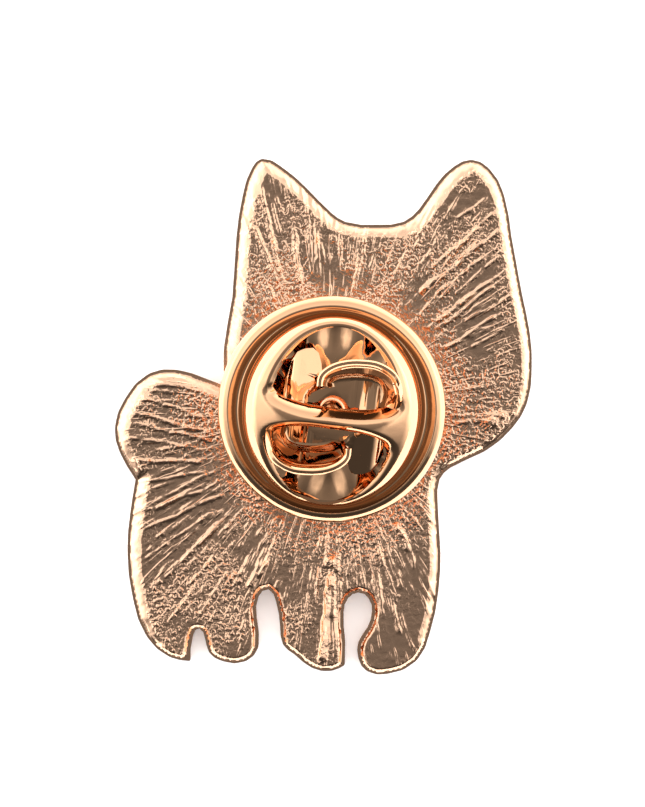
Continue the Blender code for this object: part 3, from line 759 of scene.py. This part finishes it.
# Rose gold on bright-rolled sheet that was stamped and barrel polished: close to a mirror, with a faint
# orange-peel ripple from the press, 1.1 mm wide, and finer grain on it.
bright_gold, tree, shader = metal("Rose-gold plated brass, barrel polished", "#F9C498", 0.055)
place = add_node(tree, "ShaderNodeTexCoord").outputs["Object"]
ripple = add_node(
    tree, "ShaderNodeTexNoise",
    [("Vector", place), ("Scale", per_mm(1.1)), ("Detail", 2.0), ("Roughness", 0.4)],
)
fine = add_node(tree, "ShaderNodeTexNoise", [("Vector", place), ("Scale", per_mm(0.16)), ("Detail", 2.0)])
both = add_node(
    tree, "ShaderNodeMath", [(0, fine.outputs["Fac"]), (1, 0.06), (2, ripple.outputs["Fac"])],
    operation="MULTIPLY_ADD",
)
bump = add_node(
    tree, "ShaderNodeBump", [("Height", both.outputs[0]), ("Strength", 0.35), ("Distance", 0.05 * MM)],
)
tree.links.new(bump.outputs["Normal"], shader.inputs["Normal"])
coat(plate, bright_gold)
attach(plate, "clutch_base")
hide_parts("clutch_base_plate")


# ---- Clutch cap
# Stamped from one sheet of brass and plated: a dome with two openings, whose edges the punch turned down
# so that the bridge between them is an arched strap, then a groove, and a rim rolled under the base plate.

SHEET = 0.26
DOME_R, DOME_TOP, DOME_FOOT, DOME_FULLNESS = 4.72, 3.38, 1.15, 2.6
WINDOW_X, WINDOW_Y = 3.42, 4.45
WINDOW_SHIFT = -0.2


def dome_rings():
    """The cap's outer side from the lip under the rim to the apex."""
    rings = [
        (4.97, 0.03), (5.1, 0.01), (5.3, 0.01), (5.48, 0.05), (5.61, 0.14), (5.7, 0.3), (5.745, 0.48),
        (5.74, 0.63), (5.69, 0.78), (5.61, 0.9), (5.5, 1.01), (5.38, 1.1), (5.28, 1.15), (5.22, 1.15),
        (5.175, 1.1), (5.11, 1.01), (5.04, 0.91), (4.98, 0.83), (4.93, 0.805), (4.88, 0.83), (4.82, 0.91),
        (4.76, 1.0), (4.73, 1.08),
    ]
    shoulder = [DOME_R * math.cos(math.radians(3 * i)) ** 0.77 for i in range(1, 20)]
    crown = [2.75 - 0.09 * i for i in range(30)]
    for out in shoulder + crown:
        arch = (1 - (out / DOME_R) ** DOME_FULLNESS) ** (1 / DOME_FULLNESS)
        rings.append((out, DOME_FOOT + (DOME_TOP - DOME_FOOT) * arch))
    rings.append((0.03, DOME_TOP))
    return rings


def window_edge(side):
    """The edge of one opening, in millimetres: a wide arc near the rim, and the waist of the bridge."""
    loop = []
    for i in range(61):
        angle = math.radians(13 + 154 * i / 60)
        loop.append((WINDOW_X * math.cos(angle), WINDOW_Y * math.sin(angle)))
    left, right = loop[-1][0], loop[0][0]
    for i in range(1, 40):
        x = left + (right - left) * i / 40
        loop.append((x, 0.5 + 0.6 * abs(x / WINDOW_X) ** 3.2))
    for _ in range(5):
        loop = [
            tuple((loop[i - 1][k] + 2 * loop[i][k] + loop[(i + 1) % len(loop)][k]) / 4 for k in (0, 1))
            for i in range(len(loop))
        ]
    return [(x, side * y + WINDOW_SHIFT) for x, y in loop]


cap = turn("cap", dome_rings(), 192)
apply_modifier(cap, "SOLIDIFY", thickness=SHEET * MM, offset=-1)
window_walls = {1: [], -1: []}
for side in (1, -1):
    edge = window_edge(side)
    window_walls[side] = [(a, b, 1.0) for a, b in zip(edge, edge[1:] + edge[:1])]
    punch = prism(edge, 1, 5)
    apply_modifier(cap, "BOOLEAN", operation="DIFFERENCE", solver="EXACT", object=punch)
    bpy.data.objects.remove(punch)

# The metal turns down towards both openings: furthest along the upper edge of the bridge. Then the dome
# is made slightly oval.
places = np.array([v.co / MM for v in cap.data.vertices])
on_dome = places[:, 2] > DOME_FOOT + 0.15
on_bridge = np.clip((1.35 - np.abs(places[:, 1] - WINDOW_SHIFT)) / 0.5, 0, 1)
for side, bridge_drop, bridge_reach in ((1, 0.68, 0.86), (-1, 0.34, 0.36)):
    away = to_wall(places[:, 0], places[:, 1], window_walls[side])[0]
    for share, drop, reach in ((on_bridge, bridge_drop, bridge_reach), (1 - on_bridge, 0.34, 0.5)):
        places[:, 2] -= np.where(on_dome, share * drop * np.clip(1 - away / reach, 0, 1) ** 2, 0)
inward = np.clip((5.15 - np.hypot(places[:, 0], places[:, 1])) / 0.45, 0, 1)
places[:, 0] *= 1 - 0.055 * inward
places[:, 1] *= 1 + 0.02 * inward
cap.data.vertices.foreach_set("co", (places * MM).ravel())
cap.data.update()
set_on_clutch(cap)
bpy.ops.object.shade_smooth_by_angle(angle=math.radians(50))
coat(cap, bright_gold)
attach(cap, "clutch")
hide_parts("clutch_cap")


# ---- Levers
# Two plates stamped from hard spring sheet, which cross over each other inside the cap. Each has a ring
# round the post, a foot bent down on the far side, and a wing bent up through its opening, with a rolled
# lip to squeeze.

# The wing's foot and its lip, seen from above, and the rest of the blank's outline.
WALL_FOOT = [
    (2.66, 0.5), (2.68, 1.1), (2.58, 1.6), (2.28, 2.0), (1.7, 2.18), (1.0, 2.16), (0.35, 2.05), (-0.15, 1.86),
    (-0.42, 1.55), (-0.36, 1.2),
]
WALL_LIP = [
    (3.02, 0.5), (3.12, 1.1), (3.06, 1.7), (2.72, 2.35), (1.95, 2.72), (1.1, 2.74), (0.4, 2.62), (-0.2, 2.36),
    (-0.62, 1.95), (-0.66, 1.5),
]
REST_OF_BLANK = [
    (-0.72, 1.1), (-1.1, 0.85), (-1.36, 0.45), (-1.44, 0.0), (-1.3, -0.6), (-0.95, -1.05), (-0.5, -1.36),
    (0.0, -1.45), (0.9, -1.46), (0.96, -1.8), (1.05, -2.3), (1.25, -2.8), (1.55, -3.02), (1.95, -2.95),
    (2.35, -2.75), (2.6, -2.3), (2.72, -1.5), (2.66, -0.6), (2.5, 0.1),
]
LEVER_SHEET = 0.2
LEVER_BORE = 0.85
WING_TOP = 4.24
FILLET = 0.42
FOOT_LINE, FOOT_LOW, FOOT_SLOPE, FOOT_SIDE_SLOPE = -1.46, 1.3, 0.33, 0.25


def smooth_curve(points, count):
    """Evenly shared points on the smooth curve through the given ones."""
    curve = []
    for k in range(count):
        t = k / (count - 1) * (len(points) - 1)
        i = min(int(t), len(points) - 2)
        f = t - i
        a, b, c, d = (Vector(points[min(max(i + j, 0), len(points) - 1)]) for j in (-1, 0, 1, 2))
        bend, twist = 2 * a - 5 * b + 4 * c - d, 3 * b - a - 3 * c + d
        curve.append(0.5 * (2 * b + (c - a) * f + bend * f * f + twist * f ** 3))
    return curve


def wing_section(level, top):
    """Steps up the wing's wall: how far out of the fold line, how much of its lean, and the height."""
    steps = [(-FILLET, 0.0, level)]
    for i in range(1, 7):
        angle = math.radians(15 * i)
        steps.append((-FILLET * (1 - math.sin(angle)), 0.0, level + FILLET * (1 - math.cos(angle))))
    for share in (0.2, 0.4, 0.6, 0.78, 0.9):
        steps.append((0.0, share ** 1.2, level + FILLET + (top - level - FILLET) * share))
    for out, down in ((0.015, 0.14), (0.045, 0.06), (0.1, 0.01), (0.16, 0.02), (0.21, 0.08)):
        steps.append((out, 1.0, top - down))
    return steps


COLUMNS = 40
RISING_COLUMNS = 13
for name, node, body, level, half_turn, slack in (
    ("upper_lever", "lever_upper", "wing_upper", 1.82, 0.0, 0.0),
    ("lower_lever", "lever_lower", "wing_lower", 1.235, math.pi, 0.22),
):
    # The wing: a grid whose columns stand along the fold and rise to full height over the first third.
    fold, lip = smooth_curve(WALL_FOOT, COLUMNS), smooth_curve(WALL_LIP, COLUMNS)
    outward, sections = [], []
    for i in range(COLUMNS):
        run = fold[min(i + 1, COLUMNS - 1)] - fold[max(i - 1, 0)]
        outward.append(Vector((-run.y, run.x)).normalized() * -1)
        rise = min(i / RISING_COLUMNS, 1)
        lowest = level + FILLET + 0.25
        sections.append(wing_section(level, lowest + (WING_TOP - lowest) * rise * rise * (3 - 2 * rise)))
    rows = len(sections[0])
    bpy.ops.object.select_all(action="DESELECT")
    bpy.ops.mesh.primitive_grid_add(x_subdivisions=COLUMNS - 1, y_subdivisions=rows - 1, size=1 * MM)
    lever = bpy.context.object
    lever.name = name
    for vertex in lever.data.vertices:
        column = round((vertex.co.x / MM + 0.5) * (COLUMNS - 1))
        row = round((vertex.co.y / MM + 0.5) * (rows - 1))
        out, lean, height = sections[column][row]
        x, y = fold[column] + (lip[column] - fold[column]) * lean + outward[column] * out
        vertex.co = (x * MM, y * MM, height * MM)

    # The flat part: cut into strips where it bends, and its foot bent down towards the base plate.
    border = [fold[i] - outward[i] * FILLET for i in range(COLUMNS)] + [Vector(p) for p in REST_OF_BLANK]
    flat = blank(border, level)
    edit(flat)
    for normal, first, gap in (((0, 1, 0), -0.1, -0.15), ((1, 0, 0), 0.9, 0.09)):
        for k in range(20):
            cut = (first + gap * k) * MM
            bpy.ops.mesh.select_all(action="SELECT")
            bpy.ops.mesh.bisect(plane_co=(cut, cut, 0), plane_no=normal, threshold=CUT)
    bpy.ops.object.mode_set(mode="OBJECT")
    for vertex in flat.data.vertices:
        x, y = vertex.co.x / MM, vertex.co.y / MM
        aside = min(max((x - 1.3 + 0.4 * min(max((-0.8 - y) / 0.5, 0), 1)) / 0.4, 0), 1)
        beyond = min(max((FOOT_LINE - y) / 0.3, 0), 1)
        share = max(aside * min(max((0.2 - y) / 0.4, 0), 1), beyond)
        share = share * share * (3 - 2 * share)
        foot_height = FOOT_LOW + (y + 3.0) * FOOT_SLOPE + (x - 1.9) * FOOT_SIDE_SLOPE
        vertex.co.z = (level + (foot_height - level) * share + 0.9 * max(x - 2.15, 0) ** 2 * share) * MM

    # Both joined into one sheet, which is given its thickness and drilled for the post.
    only(lever)
    flat.select_set(True)
    bpy.ops.object.join()
    edit(lever)
    bpy.ops.mesh.remove_doubles(threshold=4 * MERGE)
    bpy.ops.mesh.normals_make_consistent(inside=False)
    bpy.ops.object.mode_set(mode="OBJECT")
    apply_modifier(lever, "SOLIDIFY", thickness=LEVER_SHEET * MM, offset=0, use_even_offset=True)
    bpy.ops.object.select_all(action="DESELECT")
    bpy.ops.mesh.primitive_cylinder_add(
        vertices=64, radius=LEVER_BORE * MM, depth=2 * MM, location=(0, 0, level * MM),
    )
    drill = bpy.context.object
    bpy.ops.object.transform_apply(location=True, rotation=True, scale=True)
    apply_modifier(lever, "BOOLEAN", operation="DIFFERENCE", solver="EXACT", object=drill)
    bpy.data.objects.remove(drill)
    apply_modifier(
        lever, "BEVEL", width=0.05 * MM, segments=3, limit_method="ANGLE", angle_limit=math.radians(60),
    )
    lever.data.transform(Matrix.Translation((slack * MM, 0, 0)) @ Matrix.Rotation(half_turn, 4, "Z"))
    set_on_clutch(lever)
    bpy.ops.object.shade_smooth_by_angle(angle=math.radians(35))
    coat(lever, bright_gold)
    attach(lever, body)
    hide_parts(node)


# ---- Return spring
# A wavy ring of drawn spring wire, plated like the rest. It lies loose on the base plate under the
# levers and pushes their feet up, so that the wings open again.

spring_mesh = frame["nodes"]["return_spring"].data
spring_mesh.materials.clear()
spring_mesh.materials.append(wire_gold)
